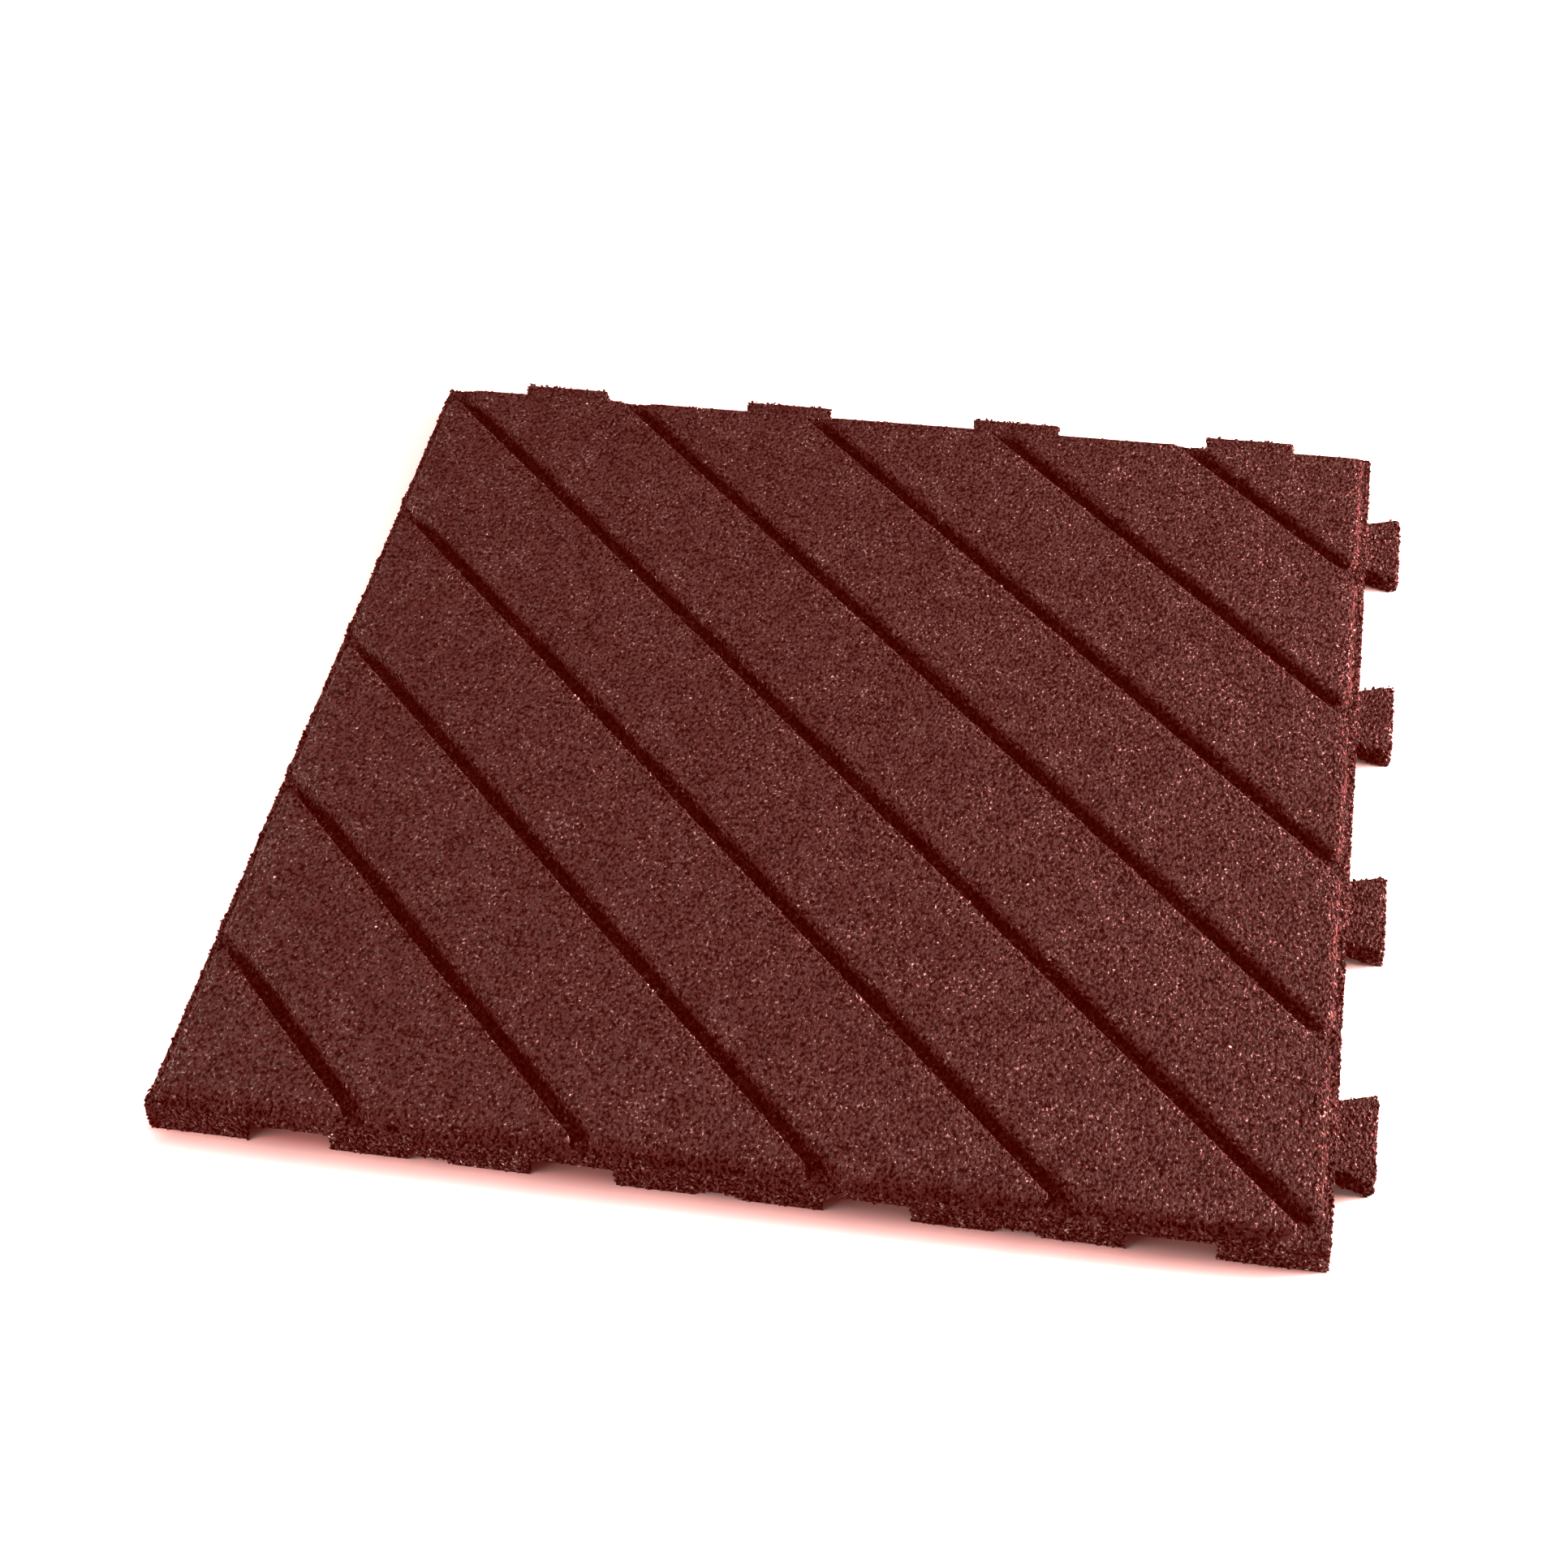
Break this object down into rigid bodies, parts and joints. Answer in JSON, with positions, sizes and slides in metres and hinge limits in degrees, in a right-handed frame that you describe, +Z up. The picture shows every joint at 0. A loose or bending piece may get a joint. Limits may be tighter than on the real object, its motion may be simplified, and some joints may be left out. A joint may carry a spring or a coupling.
{
  "type": "interlocking rubber paver",
  "caption": "Square slab of bonded rubber crumb with diagonal plank grooves, dovetail tabs on adjoining edges and matching pockets on the others.",
  "frame": {"origin": "underside, under the middle of the overall footprint with the tabs included; the slab's own centre is 8 mm to the left and 8 mm to the front of it", "axes": "+Z up through the walking face, +X towards the right tabbed edge, +Y towards the back tabbed edge"},
  "size_m": [0.516, 0.516, 0.02],
  "materials": {
    "crumb_rubber": "matte bonded crumb, dark red-brown"
  },
  "bodies": {
    "root": {"paver": "crumb_rubber"}
  },
  "joints": []
}
